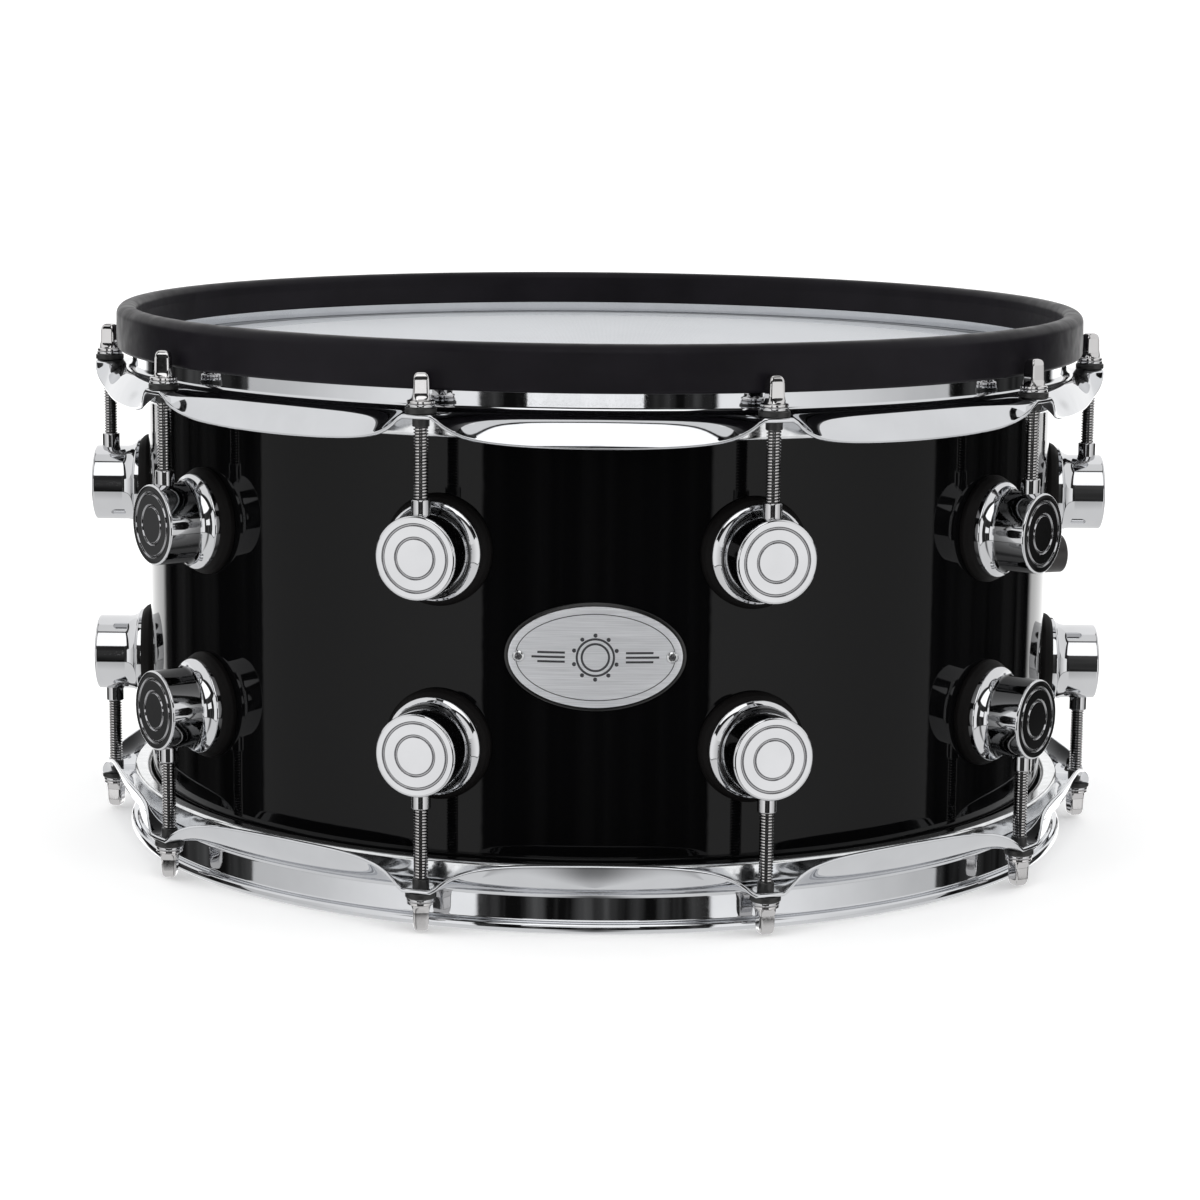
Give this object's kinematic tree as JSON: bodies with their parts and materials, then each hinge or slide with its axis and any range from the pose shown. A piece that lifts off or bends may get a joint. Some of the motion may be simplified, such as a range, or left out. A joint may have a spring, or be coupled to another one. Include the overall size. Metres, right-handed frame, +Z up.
{
  "type": "snare drum",
  "caption": "Deep wooden snare drum with triple-flanged chrome hoops, round turret lugs, square-head tension rods, rubber-covered rim, mesh batter head and built-in trigger pickups.",
  "frame": {"origin": "on the drum's axis, in the plane on which the lower hoop rests", "axes": "+Z up along the drum's axis, -Y towards the front with the badge, +X to the right seen from the front"},
  "size_m": [0.398, 0.387, 0.2051],
  "materials": {
    "black_lacquer": "black piano lacquer over wood plies, mirror gloss",
    "badge_black": "black enamel border",
    "badge_metal": "finely brushed, satin",
    "small_screws": "bright zinc plated",
    "lug_chrome": "polished chrome plate",
    "gasket_rubber": "matt black",
    "nut_chrome": "chrome plate",
    "black_nylon": "black nylon",
    "hoop_chrome": "polished chrome plate",
    "rim_rubber": "satin black moulded rubber",
    "flesh_hoop_metal": "smooth, satin",
    "head_mesh": "fine white woven mesh",
    "head_collar": "light grey coating ring",
    "head_film": "coated white film",
    "socket_black": "satin black",
    "contact_brass": "bare brass",
    "bridge_aluminium": "mill finish",
    "trigger_foam": "dense black foam",
    "lead_sheath": "black flexible sheath",
    "rod_steel": "nickel chrome plated threads, slightly darker than the hoops"
  },
  "bodies": {
    "drum": {"shell": "black_lacquer", "badge_backing": "badge_black", "badge_plate": "badge_metal", "badge_screws": "small_screws", "top_lugs": "lug_chrome", "bottom_lugs": "lug_chrome", "top_lug_gaskets": "gasket_rubber", "bottom_lug_gaskets": "gasket_rubber", "top_lug_washers": "small_screws", "bottom_lug_washers": "small_screws", "top_lug_screws": "small_screws", "bottom_lug_screws": "small_screws", "top_swivel_nuts": "nut_chrome", "bottom_swivel_nuts": "nut_chrome", "top_rod_bushings": "black_nylon", "bottom_rod_bushings": "black_nylon", "top_rod_washers": "nut_chrome", "bottom_rod_washers": "nut_chrome", "top_hoop": "hoop_chrome", "bottom_hoop": "hoop_chrome", "rim_cover": "rim_rubber", "batter_flesh_hoop": "flesh_hoop_metal", "resonant_flesh_hoop": "flesh_hoop_metal", "batter_mesh": "head_mesh", "batter_collar_ring": "head_collar", "resonant_film": "head_film", "jack_washer": "nut_chrome", "jack_nut": "nut_chrome", "jack_barrel": "socket_black", "jack_body": "socket_black", "jack_tabs": "contact_brass", "trigger_bridge": "bridge_aluminium", "bridge_fixings": "small_screws", "trigger_plate": "bridge_aluminium", "head_piezo": "contact_brass", "trigger_cone": "trigger_foam", "rim_piezo_pad": "trigger_foam", "rim_piezo": "contact_brass", "piezo_leads": "lead_sheath"},
    "top_rod_1": {"top_rod_1": "rod_steel"},
    "top_rod_2": {"top_rod_2": "rod_steel"},
    "top_rod_3": {"top_rod_3": "rod_steel"},
    "top_rod_4": {"top_rod_4": "rod_steel"},
    "top_rod_5": {"top_rod_5": "rod_steel"},
    "top_rod_6": {"top_rod_6": "rod_steel"},
    "top_rod_7": {"top_rod_7": "rod_steel"},
    "top_rod_8": {"top_rod_8": "rod_steel"},
    "top_rod_9": {"top_rod_9": "rod_steel"},
    "top_rod_10": {"top_rod_10": "rod_steel"},
    "bottom_rod_1": {"bottom_rod_1": "rod_steel"},
    "bottom_rod_2": {"bottom_rod_2": "rod_steel"},
    "bottom_rod_3": {"bottom_rod_3": "rod_steel"},
    "bottom_rod_4": {"bottom_rod_4": "rod_steel"},
    "bottom_rod_5": {"bottom_rod_5": "rod_steel"},
    "bottom_rod_6": {"bottom_rod_6": "rod_steel"},
    "bottom_rod_7": {"bottom_rod_7": "rod_steel"},
    "bottom_rod_8": {"bottom_rod_8": "rod_steel"},
    "bottom_rod_9": {"bottom_rod_9": "rod_steel"},
    "bottom_rod_10": {"bottom_rod_10": "rod_steel"}
  },
  "joints": [
    {"name": "top_rod_1_turn", "type": "hinge", "parent": "drum", "child": "top_rod_1", "pos_m": [0.1932, 0, 0.1845], "axis": [0, 0, 1], "continuous": true},
    {"name": "top_rod_2_turn", "type": "hinge", "parent": "drum", "child": "top_rod_2", "pos_m": [0.1563, 0.11356, 0.1845], "axis": [0, 0, 1], "continuous": true},
    {"name": "top_rod_3_turn", "type": "hinge", "parent": "drum", "child": "top_rod_3", "pos_m": [0.0597, 0.18374, 0.1845], "axis": [0, 0, 1], "continuous": true},
    {"name": "top_rod_4_turn", "type": "hinge", "parent": "drum", "child": "top_rod_4", "pos_m": [-0.0597, 0.18374, 0.1845], "axis": [0, 0, 1], "continuous": true},
    {"name": "top_rod_5_turn", "type": "hinge", "parent": "drum", "child": "top_rod_5", "pos_m": [-0.1563, 0.11356, 0.1845], "axis": [0, 0, 1], "continuous": true},
    {"name": "top_rod_6_turn", "type": "hinge", "parent": "drum", "child": "top_rod_6", "pos_m": [-0.1932, 0, 0.1845], "axis": [0, 0, 1], "continuous": true},
    {"name": "top_rod_7_turn", "type": "hinge", "parent": "drum", "child": "top_rod_7", "pos_m": [-0.1563, -0.11356, 0.1845], "axis": [0, 0, 1], "continuous": true},
    {"name": "top_rod_8_turn", "type": "hinge", "parent": "drum", "child": "top_rod_8", "pos_m": [-0.0597, -0.18374, 0.1845], "axis": [0, 0, 1], "continuous": true},
    {"name": "top_rod_9_turn", "type": "hinge", "parent": "drum", "child": "top_rod_9", "pos_m": [0.0597, -0.18374, 0.1845], "axis": [0, 0, 1], "continuous": true},
    {"name": "top_rod_10_turn", "type": "hinge", "parent": "drum", "child": "top_rod_10", "pos_m": [0.1563, -0.11356, 0.1845], "axis": [0, 0, 1], "continuous": true},
    {"name": "bottom_rod_1_turn", "type": "hinge", "parent": "drum", "child": "bottom_rod_1", "pos_m": [0.1932, 0, 0.0115], "axis": [0, 0, -1], "continuous": true},
    {"name": "bottom_rod_2_turn", "type": "hinge", "parent": "drum", "child": "bottom_rod_2", "pos_m": [0.1563, 0.11356, 0.0115], "axis": [0, 0, -1], "continuous": true},
    {"name": "bottom_rod_3_turn", "type": "hinge", "parent": "drum", "child": "bottom_rod_3", "pos_m": [0.0597, 0.18374, 0.0115], "axis": [0, 0, -1], "continuous": true},
    {"name": "bottom_rod_4_turn", "type": "hinge", "parent": "drum", "child": "bottom_rod_4", "pos_m": [-0.0597, 0.18374, 0.0115], "axis": [0, 0, -1], "continuous": true},
    {"name": "bottom_rod_5_turn", "type": "hinge", "parent": "drum", "child": "bottom_rod_5", "pos_m": [-0.1563, 0.11356, 0.0115], "axis": [0, 0, -1], "continuous": true},
    {"name": "bottom_rod_6_turn", "type": "hinge", "parent": "drum", "child": "bottom_rod_6", "pos_m": [-0.1932, 0, 0.0115], "axis": [0, 0, -1], "continuous": true},
    {"name": "bottom_rod_7_turn", "type": "hinge", "parent": "drum", "child": "bottom_rod_7", "pos_m": [-0.1563, -0.11356, 0.0115], "axis": [0, 0, -1], "continuous": true},
    {"name": "bottom_rod_8_turn", "type": "hinge", "parent": "drum", "child": "bottom_rod_8", "pos_m": [-0.0597, -0.18374, 0.0115], "axis": [0, 0, -1], "continuous": true},
    {"name": "bottom_rod_9_turn", "type": "hinge", "parent": "drum", "child": "bottom_rod_9", "pos_m": [0.0597, -0.18374, 0.0115], "axis": [0, 0, -1], "continuous": true},
    {"name": "bottom_rod_10_turn", "type": "hinge", "parent": "drum", "child": "bottom_rod_10", "pos_m": [0.1563, -0.11356, 0.0115], "axis": [0, 0, -1], "continuous": true}
  ]
}
